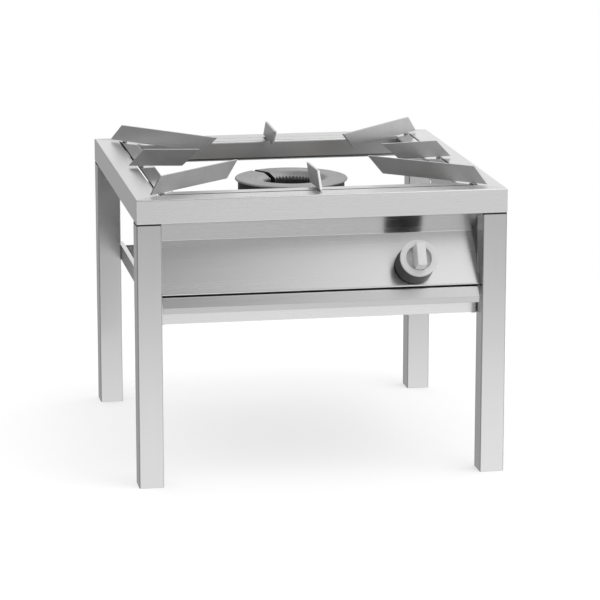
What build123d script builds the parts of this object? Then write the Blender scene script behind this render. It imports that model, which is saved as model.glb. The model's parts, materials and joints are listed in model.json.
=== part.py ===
from build123d import *
import math
import os

# Gas wok burner: a free-standing square-tube frame with a lift-out grate ring, a cast ring burner,
# a folded control panel with one gas tap, and a drip tray that slides out to the front.
# Millimetres. Origin on the floor under the middle of the frame, +Z up, the front faces -Y.
# A drop is measured down from the top of the frame, a setback back from the front of the frame.
# A cut runs past the face that it opens by the cut margin.
cut_margin = 1.0

# Frame
frame_width = 600.0
frame_depth = 600.0
frame_height = 470.0
tube_size = 40.0
tube_wall = 2.0
tube_corner = 2.5
plug_height = 18.0
plug_clearance = 0.2

# Grate ring and its fins
ring_slit = 3.0
ring_strip = 27.0
ring_drop = 30.0
ring_sheet = 3.0
ledge_width = 12.0
ledge_thickness = 4.0
ledge_length = 60.0
ledge_spacing = 300.0
fin_thickness = 4.0
fin_height = 27.0
fin_gap = 3.0
fin_drop = 2.8
fin_inner_foot = 185.5
fin_inner_lean = 30.0
fin_outer_lean = 25.0
fin_side_inset = 25.0
fin_corner_inset = 38.0
fin_foot = 6.0

# Control panel
panel_sheet = 1.5
panel_clearance = 2.0
panel_top_setback = 28.0
panel_bend_setback = 58.3
panel_bend_drop = 77.7
panel_bottom_setback = 14.1
panel_bottom_drop = 159.8
panel_flange = 12.0
panel_bottom_flange = 24.0
panel_return = 14.0
panel_tab = 20.0
panel_tab_height = 16.0
panel_tab_gap = 0.3
small_screw_radius = 2.0
small_screw_head = 3.4

# Runners and crossbar that carry the drip tray
runner_drop = 185.3
runner_height = 26.2
runner_flange = 8.0
runner_sheet = 1.5
runner_rear_lap = 35.0
crossbar_sheet = 3.0
crossbar_foot = 20.0
bracket_sheet = 2.0
bracket_length = 30.0

# Drip tray
tray_sheet = 1.2
tray_side_clearance = 0.8
tray_floor_clearance = 0.3
tray_top_clearance = 0.6
tray_rear_clearance = 5.0
tray_front_setback = 36.0
nose_top_setback = 15.6
nose_front_setback = 9.0
nose_rise = 22.4
nose_slope = 15.8
nose_lip = 9.4

# Ring burner
burner_radius = 90.0
burner_wall = 6.0
burner_hole_radius = 45.0
burner_inner_wall = 5.0
burner_height = 58.0
burner_floor = 5.0
burner_lug = 24.0
burner_lug_height = 18.0
cap_drop = 25.0
cap_rim = 3.0
cap_dip = 8.5
cap_lip = 4.0
cap_radius = 95.0
cap_flat_radius = 61.0
cap_spigot = 5.0
cap_spigot_depth = 6.0
cap_clearance = 0.3
cap_edge = 1.5
slot_width = 10.0
slot_angle = 34.0
slot_rib = 3.0
slot_margin = 2.0
port_radius = 1.6
port_reach = 8.0
outer_ports = 40
inner_ports = 20
outer_port_drop = 8.5
inner_port_drop = 5.0

# Bars that carry the burner
bearer_width = 30.0
bearer_thickness = 4.0
bearer_offset = 50.0
bearer_end_drop = 14.0
bearer_screw_inset = 10.0
lug_offset = 60.0
bolt_radius = 3.0
bolt_head = 10.0
bolt_head_height = 4.0
bolt_end_gap = 1.0
bolt_clearance = 0.1

# Mixing tube, air shutter and injector
mix_rise = 20.0
mix_radius = 18.0
mix_wall = 2.5
throat_radius = 15.0
throat_taper = 25.0
mouth_radius = 24.0
mouth_taper = 30.0
mouth_length = 35.0
mouth_wall = 3.0
window_width = 12.0
window_length = 16.0
shutter_wall = 2.0
shutter_margin = 4.0
shutter_clearance = 0.08
shutter_screw_head = 3.0
injector_radius = 5.0
injector_reach = 12.0
injector_cone = 6.0
injector_tip_radius = 2.0
injector_jet_radius = 0.8
injector_hex = 14.0
injector_hex_length = 5.0
holder_radius = 8.0
holder_length = 18.0
holder_branch = 26.0
holder_branch_radius = 7.0
holder_gap = 13.7
gas_way_radius = 3.0

# Gas tap, spindle and knob, measured along the tap's axis from the panel's face
tap_inset = 146.6
tap_slope = 57.0
tap_half = 17.0
tap_front = 14.0
tap_back = 50.0
tap_port = 32.0
tap_boss = 8.0
tap_boss_radius = 8.5
tap_neck_radius = 9.0
tap_neck_height = 4.0
tap_neck_play = 0.3
tap_shoulder_radius = 12.0
tap_nut_hex = 24.0
tap_nut_height = 3.0
magnet_radius = 9.0
magnet_end = 75.0
plug_radius = 7.5
plug_running = 0.05
plug_front = 18.0
plug_back = 44.0
plug_way_radius = 2.0
plug_end_gap = 1.0
spindle_radius = 4.0
spindle_flat = 3.0
spindle_running = 0.05
spindle_back = 31.0
spindle_front = 29.0
push_travel = 4.0
knob_gap = 5.0
knob_back_radius = 31.5
knob_front_radius = 30.0
knob_shell = 4.0
knob_hub_radius = 8.5
knob_hub_clearance = 1.0
knob_face = 45.5
knob_face_radius = 30.5
knob_cap_rim = 6.0
knob_boss_radius = 24.5
knob_boss_depth = 12.0
knob_hollow_radius = 20.5
knob_hollow_depth = 9.0
grip_rise = 23.0
grip_width = 15.0
grip_foot_width = 17.0

# Gas pipes
feed_radius = 5.0
feed_wall = 1.0
feed_lead = 45.0
feed_tail = 30.0
feed_nut = 16.0
supply_radius = 6.0
supply_wall = 1.0
supply_nut = 18.0
pilot_nut = 9.0
probe_nut = 10.0
supply_inset = 78.0
supply_bend = 19.0
nut_length = 10.0
nut_play = 0.05
inlet_thread_radius = 10.478
inlet_relief = 0.3
inlet_bore = 7.5
inlet_thread_length = 15.0
inlet_stem = 24.0
inlet_reach = 36.0
inlet_hex = 27.0
inlet_hex_length = 12.0
inlet_socket_radius = 9.0
inlet_socket_length = 12.0
inlet_locknut = 5.0
inlet_plate = 3.0
inlet_plate_width = 50.0
inlet_plate_above = 22.0
inlet_plate_lap = 20.0
inlet_clearance = 0.15

# Pilot burner, thermocouple and their thin tubes
pilot_ring_radius = 103.0
pilot_radius = 5.0
pilot_wall = 1.5
pilot_drop = 36.0
pilot_length = 32.0
pilot_tube_radius = 2.0
pilot_tube_run = 12.0
probe_angle = 46.0
probe_radius = 3.0
probe_lead_radius = 1.5
probe_lead_run = 24.0
pilot_plate = 2.0
pilot_plate_height = 12.0
pilot_plate_half = 18.0
pilot_plate_rise = 6.0
thin_tube_bend = 18.0
thin_tube_lead = 30.0
thin_tube_swing = 18.0

# Places worked out from the values above
half_width = frame_width / 2
half_depth = frame_depth / 2
inner_x = half_width - tube_size
inner_y = half_depth - tube_size
rail_bottom = frame_height - tube_size
ring_outer_x = inner_x - ring_slit
ring_outer_y = inner_y - ring_slit
ring_inner_x = ring_outer_x - ring_strip
ring_inner_y = ring_outer_y - ring_strip
fin_bottom = frame_height + fin_gap
fin_top = fin_bottom + fin_height
panel_half = inner_x - panel_clearance
panel_top_y = -half_depth + panel_top_setback
panel_bend_y = -half_depth + panel_bend_setback
panel_bend_height = frame_height - panel_bend_drop
panel_bottom_y = -half_depth + panel_bottom_setback
panel_bottom_height = frame_height - panel_bottom_drop
runner_top = frame_height - runner_drop
runner_bottom = runner_top - runner_height
crossbar_front = inner_y - crossbar_sheet
tray_half = inner_x - runner_sheet - tray_side_clearance
tray_bottom = runner_bottom + runner_sheet + tray_floor_clearance
tray_rim = runner_top - runner_sheet - tray_top_clearance
tray_front = -half_depth + tray_front_setback
tray_back = crossbar_front - tray_rear_clearance
nose_top = runner_top + nose_rise
nose_edge = nose_top - nose_slope
cap_top = frame_height - cap_drop
cap_lip_height = cap_top - cap_dip
burner_inner_radius = burner_hole_radius + burner_inner_wall
burner_rim_height = cap_top - cap_rim
burner_hub_height = cap_lip_height - cap_lip
burner_bottom = burner_rim_height - burner_height
bearer_top = burner_bottom - burner_lug_height
bearer_bottom = bearer_top - bearer_thickness
bearer_end_top = frame_height - bearer_end_drop
bearer_screw_level = bearer_end_top - bearer_screw_inset
mix_height = burner_bottom + mix_rise
mix_bore = mix_radius - mix_wall
mouth_end = -panel_bend_y - holder_gap - holder_length - injector_hex_length
mouth_start = mouth_end - mouth_length
throat_distance = mouth_start - mouth_taper
mix_straight = throat_distance - throat_taper
tap_side = half_width - tap_inset
supply_side = half_width - supply_inset
pilot_top = frame_height - pilot_drop
pilot_bottom = pilot_top - pilot_length

# The lower half of the panel is a sloped plane, and the tap stands square to it.
slope_y = panel_bottom_y - panel_bend_y
slope_z = panel_bottom_height - panel_bend_height
slope_length = math.hypot(slope_y, slope_z)
down_slope = Vector(0, slope_y / slope_length, slope_z / slope_length)
tap_out = Vector(0, down_slope.Z, -down_slope.Y)
tap_origin = Vector(tap_side, panel_bend_y, panel_bend_height) + down_slope * tap_slope
tap_plane = Plane(origin=tap_origin, x_dir=(1, 0, 0), z_dir=tap_out)
mix_plane = Plane(origin=(0, 0, mix_height), x_dir=(1, 0, 0), z_dir=(0, -1, 0))


def block(x_from, x_to, y_from, y_to, z_from, z_to):
    """A box between two corners."""
    middle = Pos((x_from + x_to) / 2, (y_from + y_to) / 2, (z_from + z_to) / 2)
    return middle * Box(abs(x_to - x_from), abs(y_to - y_from), abs(z_to - z_from))


def disc(radius, z_from, z_to):
    """A cylinder about the Z axis."""
    return Pos(0, 0, (z_from + z_to) / 2) * Cylinder(radius, z_to - z_from)


def hex_bar(across, z_from, z_to):
    """A hexagonal bar about the Z axis."""
    return Pos(0, 0, z_from) * extrude(RegularPolygon(across / 2, 6, major_radius=False), z_to - z_from)


def ring_solid(outline):
    """A solid turned from an outline of (radius, height) points about the Z axis."""
    return revolve(Plane.XZ * make_face(Polyline(*outline, close=True)), Axis.Z)


def prism_x(outline, x_from, x_to):
    """An outline of (y, z) points drawn out along X."""
    face = Plane.YZ * make_face(Polyline(*outline, close=True))
    return Pos(x_from, 0, 0) * extrude(face, x_to - x_from)


def prism_y(outline, y_from, y_to):
    """An outline of (x, z) points drawn out along Y."""
    face = Plane.XZ * make_face(Polyline(*outline, close=True))
    return Pos(0, y_to, 0) * extrude(face, y_to - y_from)


def prism_z(outline, z_from, z_to):
    """An outline of (x, y) points drawn out along Z."""
    return Pos(0, 0, z_from) * extrude(make_face(Polyline(*outline, close=True)), z_to - z_from)


def folded(points, thickness):
    """The closed outline of a folded sheet: its outer side runs through the points."""
    inner = []
    for index, (a, b) in enumerate(points):
        before = points[max(index - 1, 0)]
        after = points[min(index + 1, len(points) - 1)]
        sides = []
        for (a0, b0), (a1, b1) in ((before, (a, b)), ((a, b), after)):
            length = math.hypot(a1 - a0, b1 - b0)
            if length > 0:
                sides.append(((b0 - b1) / length, (a1 - a0) / length))
        (p, q), (r, s) = sides[0], sides[-1]
        share = thickness / (1 + p * r + q * s)
        inner.append((a + (p + r) * share, b + (q + s) * share))
    return list(points) + inner[::-1]


def rod(start, end, radius):
    """A round rod between two points."""
    line = Vector(*end) - Vector(*start)
    return Plane(origin=start, z_dir=line) * disc(radius, 0, line.length)


def pipe(points, radius, wall, bend):
    """A round tube through the points, with an arc of the bend radius at each corner."""
    path = FilletPolyline(*points, radius=bend)
    start = Plane(origin=points[0], z_dir=Vector(*points[1]) - Vector(*points[0]))
    section = Circle(radius) - Circle(radius - wall) if wall else Circle(radius)
    return sweep(start * section, path)


def hex_nut(across, bore, place, toward, length):
    """A union nut with a bore, from a point along a direction."""
    nut = hex_bar(across, 0, length) - disc(bore, 0, length)
    return Plane(origin=place, z_dir=toward) * nut


def group(solids):
    """Separate solids that share one node."""
    return Compound(children=[solid for part in solids for solid in part.solids()])


def polar(radius, angle):
    """A point at a distance from the burner's axis, the angle counted from the back to the left."""
    turn = math.radians(angle)
    return (-radius * math.sin(turn), radius * math.cos(turn))


def on_tap(x, y, z):
    """A point given in the tap's own directions: across, up the slope and out of the panel."""
    place = tap_plane.from_local_coords(Vector(x, y, z))
    return (place.X, place.Y, place.Z)


nodes = {}


# Rails of the top frame, mitred at the corners
def square_tube(length):
    """A square tube that stands on the floor."""
    outside = RectangleRounded(tube_size, tube_size, tube_corner)
    bore = tube_size - 2 * tube_wall
    return extrude(outside - Rectangle(bore, bore), length)


def rail(along_x, sign):
    """One mitred rail; sign is -1 for the front or left rail and 1 for the back or right rail."""
    level = (frame_height + rail_bottom) / 2
    if along_x:
        turned = Pos(-half_width, sign * (half_depth - tube_size / 2), level) * Rot(0, 90, 0)
        outer = [(-half_width, sign * half_depth), (half_width, sign * half_depth)]
        inner = [(inner_x, sign * inner_y), (-inner_x, sign * inner_y)]
        length = frame_width
    else:
        turned = Pos(sign * (half_width - tube_size / 2), half_depth, level) * Rot(90, 0, 0)
        outer = [(sign * half_width, -half_depth), (sign * half_width, half_depth)]
        inner = [(sign * inner_x, inner_y), (sign * inner_x, -inner_y)]
        length = frame_depth
    return turned * square_tube(length) & prism_z(outer + inner, rail_bottom, frame_height)


def bearer_screw_holes():
    """Holes in the side rails for the screws that hold the burner's bars."""
    level = bearer_screw_level
    reach = inner_x + tube_wall
    holes = []
    for y in (-bearer_offset, bearer_offset):
        holes.append(rod((-reach, y, level), (reach, y, level), bolt_radius + bolt_clearance))
    return holes


nodes["rail_front"] = rail(True, -1)
nodes["rail_back"] = rail(True, 1)
nodes["rail_left"] = rail(False, -1) - bearer_screw_holes()
nodes["rail_right"] = rail(False, 1) - bearer_screw_holes()

# Legs, closed at the floor by plugs
plugs = []
for depth_name, y_sign in (("front", -1), ("back", 1)):
    for side_name, x_sign in (("left", -1), ("right", 1)):
        foot = Pos(x_sign * (half_width - tube_size / 2), y_sign * (half_depth - tube_size / 2), 0)
        nodes["leg_" + depth_name + "_" + side_name] = foot * square_tube(rail_bottom)
        plug_size = tube_size - 2 * tube_wall - 2 * plug_clearance
        plug = extrude(Rectangle(plug_size, plug_size), plug_height)
        plugs.append(foot * plug)
nodes["leg_plugs"] = group(plugs)


# Ledges on the rails that carry the grate ring
ledges = []
ledge_top = frame_height - ring_sheet
ledge_low = ledge_top - ledge_thickness
for along in (-ledge_spacing / 2, ledge_spacing / 2):
    a, b = along - ledge_length / 2, along + ledge_length / 2
    for sign in (-1, 1):
        inner_edge = sign * (inner_x - ledge_width)
        ledges.append(block(inner_edge, sign * inner_x, a, b, ledge_low, ledge_top))
        inner_edge = sign * (inner_y - ledge_width)
        ledges.append(block(a, b, inner_edge, sign * inner_y, ledge_low, ledge_top))
nodes["grate_ledges"] = group(ledges)

# Grate ring: an angle section all round, its strip flush with the rails
strip = block(-ring_outer_x, ring_outer_x, -ring_outer_y, ring_outer_y, ledge_top, frame_height)
skirt_x = ring_inner_x + ring_sheet
skirt_y = ring_inner_y + ring_sheet
skirt = block(-skirt_x, skirt_x, -skirt_y, skirt_y, frame_height - ring_drop, frame_height)
well = block(-ring_inner_x, ring_inner_x, -ring_inner_y, ring_inner_y, 0, 2 * frame_height)
nodes["grate_ring"] = strip + skirt - well


def fin(outer_foot, ring_edge, angle):
    """An upright plate with one foot at the ring's outer edge, lower towards the burner."""
    inner_bottom = fin_bottom - fin_drop
    outline = [
        (outer_foot, fin_bottom),
        (outer_foot - fin_outer_lean, fin_top),
        (fin_inner_foot - fin_inner_lean, fin_top - fin_drop),
        (fin_inner_foot, inner_bottom),
    ]
    half = fin_thickness / 2
    plate = prism_y(outline, -half, half)
    slope = fin_drop / (outer_foot - fin_inner_foot)
    foot_inside = ring_edge - fin_foot
    foot = [
        (foot_inside, frame_height),
        (foot_inside, inner_bottom + slope * (foot_inside - fin_inner_foot)),
        (ring_edge, inner_bottom + slope * (ring_edge - fin_inner_foot)),
        (ring_edge, frame_height),
    ]
    return Rot(0, 0, angle) * (plate + prism_y(foot, -half, half))


corner_angle = math.degrees(math.atan2(half_depth, half_width))
corner_outer = math.hypot(ring_outer_x, ring_outer_y)
corner_foot = math.hypot(half_width, half_depth) - fin_corner_inset
for name, angle in (("right", 0), ("left", 180)):
    nodes["fin_" + name] = fin(half_width - fin_side_inset, ring_outer_x, angle)
for name, angle in (("back", 90), ("front", 270)):
    nodes["fin_" + name] = fin(half_depth - fin_side_inset, ring_outer_y, angle)
corner_edge = corner_outer - fin_thickness
for name, angle in (
    ("back_right", corner_angle),
    ("back_left", 180 - corner_angle),
    ("front_left", 180 + corner_angle),
    ("front_right", 360 - corner_angle),
):
    nodes["fin_" + name] = fin(corner_foot, corner_edge, angle)

# Control panel: one sheet with a fold under the rail, a ridge, and two folds at the bottom
panel_points = [
    (panel_bottom_y + panel_bottom_flange, panel_bottom_height - panel_return),
    (panel_bottom_y + panel_bottom_flange, panel_bottom_height),
    (panel_bottom_y, panel_bottom_height),
    (panel_bend_y, panel_bend_height),
    (panel_top_y, rail_bottom),
    (panel_top_y + panel_flange, rail_bottom),
]
panel = prism_x(folded(panel_points[::-1], panel_sheet), -panel_half, panel_half)
tap_hole = tap_plane * disc(tap_neck_radius + bolt_clearance, -2 * panel_sheet, panel_sheet)
nodes["control_panel"] = panel - tap_hole

# Tabs that hold the panel's lower corners to the front legs, each with a screw
tabs = []
tab_screws = []
tab_low = panel_bottom_height + panel_sheet
tab_high = tab_low + panel_tab_height
slant = slope_y / slope_z
sheet_depth = panel_sheet * slope_length / abs(slope_z)
tab_corner = panel_bottom_y + sheet_depth + panel_sheet * slant + panel_tab_gap
tab_outline = [
    (tab_corner, tab_low),
    (-inner_y, tab_low),
    (-inner_y, tab_high),
    (tab_corner + panel_tab_height * slant, tab_high),
]
for side_name, sign in (("left", -1), ("right", 1)):
    leg_face = sign * inner_x
    wing_face = leg_face - sign * panel_sheet
    foot_end = leg_face - sign * panel_tab
    hole_end = leg_face + sign * tube_wall
    wing = prism_x(tab_outline, min(leg_face, wing_face), max(leg_face, wing_face))
    foot_back = panel_bottom_y + panel_bottom_flange
    foot_front = tab_corner + panel_sheet * slant
    foot = block(wing_face, foot_end, foot_front, foot_back, tab_low, tab_low + panel_sheet)
    middle_y = (tab_corner + panel_tab_height * slant - inner_y) / 2
    middle_z = (tab_low + panel_sheet + tab_high) / 2
    screw_face = (wing_face, middle_y, middle_z)
    screw_end = (hole_end, middle_y, middle_z)
    hole = rod((foot_end, middle_y, middle_z), screw_end, small_screw_radius + bolt_clearance)
    tabs.append(wing + foot - hole)
    head_face = (wing_face - sign * panel_sheet, middle_y, middle_z)
    head = rod(screw_face, head_face, small_screw_head)
    tab_screws.append(head + rod(screw_face, screw_end, small_screw_radius))
    nodes["leg_front_" + side_name] = nodes["leg_front_" + side_name] - hole
nodes["panel_tabs"] = group(tabs)
nodes["panel_screws"] = group(tab_screws)


# Runners: channels that open to the middle and hold the tray's edges
def runner(sign):
    """A channel along one side, from behind the front leg to beside the back leg."""
    wall = sign * inner_x
    points = [
        (wall - sign * runner_flange, runner_bottom),
        (wall, runner_bottom),
        (wall, runner_top),
        (wall - sign * runner_flange, runner_top),
    ]
    outline = folded(points if sign > 0 else points[::-1], runner_sheet)
    return prism_y(outline, -inner_y, inner_y + runner_rear_lap)


nodes["runner_left"] = runner(-1)
nodes["runner_right"] = runner(1)

# Crossbar behind the tray, an angle between the two runners
crossbar_half = inner_x - runner_flange
crossbar_points = [
    (inner_y + crossbar_foot, runner_bottom),
    (crossbar_front, runner_bottom),
    (crossbar_front, runner_top),
]
crossbar = prism_x(folded(crossbar_points[::-1], crossbar_sheet), -crossbar_half, crossbar_half)
nodes["rear_crossbar"] = crossbar

# Angle brackets up to the rails, which join each runner to the back of its front leg
brackets = []
for sign in (-1, 1):
    wall = sign * inner_x
    across, along = wall + sign * bracket_length, -inner_y + bracket_length
    low = runner_bottom + runner_sheet
    on_leg = block(wall, across, -inner_y, -inner_y + bracket_sheet, low, rail_bottom)
    on_runner = block(wall, wall + sign * bracket_sheet, -inner_y, along, low, rail_bottom)
    brackets.append(on_leg + on_runner)
nodes["runner_brackets"] = group(brackets)

# Drip tray: a shallow pan whose front wall rises and folds over into a sloped pull
tray_inside = tray_half - tray_sheet
tray = block(-tray_half, tray_half, tray_front, tray_back, tray_bottom, tray_rim)
tray_well = block(
    -tray_inside,
    tray_inside,
    tray_front + tray_sheet,
    tray_back - tray_sheet,
    tray_bottom + tray_sheet,
    2 * tray_rim,
)
pull_points = [
    (tray_front, tray_bottom),
    (tray_front, nose_top),
    (-half_depth + nose_top_setback, nose_top),
    (-half_depth + nose_front_setback, nose_edge),
    (-half_depth + nose_front_setback, nose_edge - nose_lip),
]
pull = prism_x(folded(pull_points[::-1], tray_sheet), -tray_half, tray_half)
nodes["drip_tray"] = tray - tray_well + pull


# Bars across the frame, with their ends turned up beside the rails
def bearer(y):
    """A flat bar with upturned ends; its holes take the burner's bolts and its own screws."""
    points = [
        (-inner_x, bearer_end_top),
        (-inner_x, bearer_bottom),
        (inner_x, bearer_bottom),
        (inner_x, bearer_end_top),
    ]
    half = bearer_width / 2
    bar = prism_y(folded(points, bearer_thickness), y - half, y + half)
    holes = bearer_screw_holes()
    for x in (-lug_offset, lug_offset):
        holes.append(rod((x, y, bearer_bottom), (x, y, bearer_top), bolt_radius + bolt_clearance))
    return bar - holes


nodes["bearer_front"] = bearer(-bearer_offset)
nodes["bearer_back"] = bearer(bearer_offset)

screws = []
for y in (-bearer_offset, bearer_offset):
    for sign in (-1, 1):
        seat = (sign * (inner_x - bearer_thickness), y, bearer_screw_level)
        outward = Plane(origin=seat, z_dir=(sign, 0, 0))
        head = hex_bar(bolt_head, -bolt_head_height, 0)
        shank = disc(bolt_radius, 0, bearer_thickness + 2 * tube_wall)
        screws.append(outward * (head + shank))
nodes["bearer_screws"] = group(screws)


# Burner body: a cast ring chamber on four lugs, with ports in both walls
def radial_holes(radius, count, level):
    """A row of small round holes through a ring wall."""
    hole = rod((radius - port_reach, 0, level), (radius + port_reach, 0, level), port_radius)
    return [Rot(0, 0, 360 * index / count) * hole for index in range(count)]


def slot_channel(z_from, z_to, extra):
    """The radial channel under the cap's slot, widened on each side by the extra."""
    half = slot_width / 2 + extra
    near, far = burner_hole_radius - slot_margin, cap_radius + slot_margin
    channel = block(-half, half, near, far, z_from, z_to)
    return Rot(0, 0, slot_angle) * channel


chamber = ring_solid(
    [
        (burner_hole_radius, burner_bottom),
        (burner_radius, burner_bottom),
        (burner_radius, burner_rim_height),
        (burner_radius - burner_wall, burner_rim_height),
        (burner_radius - burner_wall, burner_bottom + burner_floor),
        (burner_inner_radius, burner_bottom + burner_floor),
        (burner_inner_radius, burner_hub_height),
        (burner_hole_radius, burner_hub_height),
    ]
)
spigot_outer = burner_radius - burner_wall - cap_clearance
spigot_low = burner_rim_height - cap_spigot_depth
rib_top = min(spigot_low, burner_hub_height)
rib_zone = disc(burner_radius, burner_bottom, rib_top) - disc(burner_hole_radius, burner_bottom, rib_top)
ribs = slot_channel(burner_bottom, rib_top, slot_rib) & rib_zone
lugs = []
for x in (-lug_offset, lug_offset):
    for y in (-bearer_offset, bearer_offset):
        half = burner_lug / 2
        lug = block(x - half, x + half, y - half, y + half, bearer_top, burner_bottom + burner_floor)
        lugs.append(lug & disc(burner_radius, bearer_top, burner_rim_height))
body = chamber + ribs + lugs
body = body - slot_channel(burner_bottom + burner_floor, burner_rim_height, 0)
body = body - radial_holes(burner_radius, outer_ports, burner_rim_height - outer_port_drop)
body = body - radial_holes(burner_hole_radius, inner_ports, burner_hub_height - inner_port_drop)
body = body - mix_plane * disc(mix_bore, burner_radius - 2 * burner_wall, burner_radius + burner_wall)
for x in (-lug_offset, lug_offset):
    for y in (-bearer_offset, bearer_offset):
        body = body - rod((x, y, bearer_top), (x, y, burner_bottom), bolt_radius + bolt_clearance)
nodes["burner_body"] = body

# Burner bolts, up through the bars into the lugs
bolts = []
for x in (-lug_offset, lug_offset):
    for y in (-bearer_offset, bearer_offset):
        head = hex_bar(bolt_head, bearer_bottom - bolt_head_height, bearer_bottom)
        shank = disc(bolt_radius, bearer_bottom, burner_bottom - bolt_end_gap)
        bolts.append(Pos(x, y, 0) * (head + shank))
nodes["burner_bolts"] = group(bolts)

# Burner cap: a lift-off ring that dips to the middle, with one radial slot
cap = ring_solid(
    [
        (burner_hole_radius, cap_lip_height),
        (cap_flat_radius, cap_top),
        (cap_radius - cap_edge, cap_top),
        (cap_radius, cap_top - cap_edge),
        (cap_radius, burner_rim_height),
        (spigot_outer, burner_rim_height),
        (spigot_outer, spigot_low),
        (spigot_outer - cap_spigot, spigot_low),
        (spigot_outer - cap_spigot, burner_rim_height),
        (cap_flat_radius, burner_rim_height),
        (burner_inner_radius, burner_hub_height),
        (burner_hole_radius, burner_hub_height),
    ]
)
nodes["burner_cap"] = cap - slot_channel(spigot_low - cut_margin, cap_top + cut_margin, 0)


# Mixing tube: from the mouth with its air windows, through the throat, to the burner's wall
def windows(reach):
    """Four air windows through the wall of the mouth, as cutting bars."""
    middle = (mouth_start + mouth_end) / 2
    across = Box(window_width, 2 * reach, window_length)
    along = Box(2 * reach, window_width, window_length)
    return [Pos(0, 0, middle) * across, Pos(0, 0, middle) * along]


mix_start = burner_radius - burner_wall
mix_tube = ring_solid(
    [
        (mix_bore, mix_start),
        (mix_radius, mix_start),
        (mix_radius, mix_straight),
        (throat_radius, throat_distance),
        (mouth_radius, mouth_start),
        (mouth_radius, mouth_end),
        (injector_radius + bolt_clearance, mouth_end),
        (injector_radius + bolt_clearance, mouth_end - mouth_wall),
        (mouth_radius - mouth_wall, mouth_end - mouth_wall),
        (mouth_radius - mouth_wall, mouth_start),
        (throat_radius - mix_wall, throat_distance),
        (mix_bore, mix_straight),
    ]
)
mix_tube = mix_tube - windows(2 * mouth_radius)
nodes["mixing_tube"] = mix_plane * mix_tube - disc(burner_radius, burner_bottom - mix_radius, cap_top)

# Air shutter: a sleeve that turns on the mouth, with its clamp screw
shutter_bore = mouth_radius + shutter_clearance
shutter_radius = shutter_bore + shutter_wall
shutter_from = (mouth_start + mouth_end) / 2 - window_length / 2 - shutter_margin
shutter_to = (mouth_start + mouth_end) / 2 + window_length / 2 + shutter_margin
shutter = disc(shutter_radius, shutter_from, shutter_to) - disc(shutter_bore, shutter_from, shutter_to)
screw_level = (shutter_from + shutter_to) / 2
screw_turn = Rot(0, 0, 45)
screw_way = rod((0, 0, screw_level), (2 * shutter_radius, 0, screw_level), small_screw_radius)
nodes["air_shutter"] = mix_plane * (shutter - windows(2 * shutter_radius) - screw_turn * screw_way)
screw_tip = (shutter_bore + shutter_clearance, 0, screw_level)
screw_seat = (shutter_radius, 0, screw_level)
screw_top = (shutter_radius + small_screw_radius, 0, screw_level)
clamp_screw = rod(screw_tip, screw_seat, small_screw_radius)
clamp_screw = clamp_screw + rod(screw_seat, screw_top, shutter_screw_head)
nodes["shutter_screw"] = mix_plane * screw_turn * clamp_screw

# Injector through the mouth's end wall, and the elbow that feeds it
injector_tip = mouth_end - mouth_wall - injector_reach
cone_end = injector_tip + injector_cone
injector = ring_solid(
    [
        (injector_jet_radius, injector_tip),
        (injector_tip_radius, injector_tip),
        (injector_radius, cone_end),
        (injector_radius, mouth_end),
        (gas_way_radius, mouth_end),
        (gas_way_radius, cone_end),
        (injector_jet_radius, cone_end - injector_jet_radius),
    ]
)
holder_from = mouth_end + injector_hex_length
holder_to = holder_from + holder_length
holder_axis = (holder_from + holder_to) / 2
injector_head = hex_bar(injector_hex, mouth_end, holder_from)
injector_head = injector_head - disc(gas_way_radius, mouth_end, holder_from)
nodes["injector"] = mix_plane * (injector + injector_head)

holder = disc(holder_radius, holder_from, holder_to)
holder = holder + rod((0, 0, holder_axis), (holder_branch, 0, holder_axis), holder_branch_radius)
holder = holder - rod((0, 0, holder_from - cut_margin), (0, 0, holder_axis), gas_way_radius)
holder_way_end = (holder_branch + cut_margin, 0, holder_axis)
holder = holder - rod((0, 0, holder_axis), holder_way_end, gas_way_radius)
nodes["injector_holder"] = mix_plane * holder

# Gas tap, behind the panel, with its neck through it
tap = block(-tap_half, tap_half, -tap_half, tap_half, -tap_back, -tap_front)
tap = tap + disc(tap_shoulder_radius, -tap_front, -panel_sheet)
tap = tap + disc(tap_neck_radius, -panel_sheet, tap_neck_height)
tap = tap + disc(magnet_radius, -magnet_end, -tap_back)
boss_reach = tap_half + tap_boss
tap = tap + rod((-boss_reach, 0, -tap_port), (boss_reach, 0, -tap_port), tap_boss_radius)
pilot_port = tap_half + tap_boss / 2
tap = tap + rod((0, 0, -tap_port), (0, pilot_port, -tap_port), tap_boss_radius / 2)
tap = tap - disc(plug_radius + plug_running, -plug_back - plug_end_gap, -plug_front + plug_end_gap)
tap = tap - disc(spindle_radius + tap_neck_play, -plug_front, tap_neck_height + cut_margin)
for sign in (-1, 1):
    way_end = (sign * (boss_reach + cut_margin), 0, -tap_port)
    tap = tap - rod((sign * plug_radius, 0, -tap_port), way_end, gas_way_radius)
nodes["gas_tap"] = tap_plane * tap
tap_nut = hex_bar(tap_nut_hex, 0, tap_nut_height) - disc(tap_neck_radius + bolt_clearance, 0, tap_nut_height)
nodes["tap_nut"] = tap_plane * tap_nut


# Plug and spindle: the spindle turns the plug by its flat and slides in it when pushed
def flatted(radius, flat, z_from, z_to):
    """A round bar with a flat on its upper side."""
    return disc(radius, z_from, z_to) - block(-radius, radius, flat, 2 * radius, z_from, z_to)


socket_end = -spindle_back - push_travel - plug_end_gap
socket_radius = spindle_radius + spindle_running
socket = flatted(socket_radius, spindle_flat + spindle_running, socket_end, -plug_front)
tap_plug = disc(plug_radius, -plug_back, -plug_front) - socket
plug_way = (socket_end - plug_back) / 2
tap_plug = tap_plug - rod((-plug_radius, 0, plug_way), (plug_radius, 0, plug_way), plug_way_radius)
nodes["tap_plug"] = tap_plane * tap_plug
spindle = flatted(spindle_radius, spindle_flat, -spindle_back, spindle_front)
nodes["tap_spindle"] = tap_plane * spindle

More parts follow.
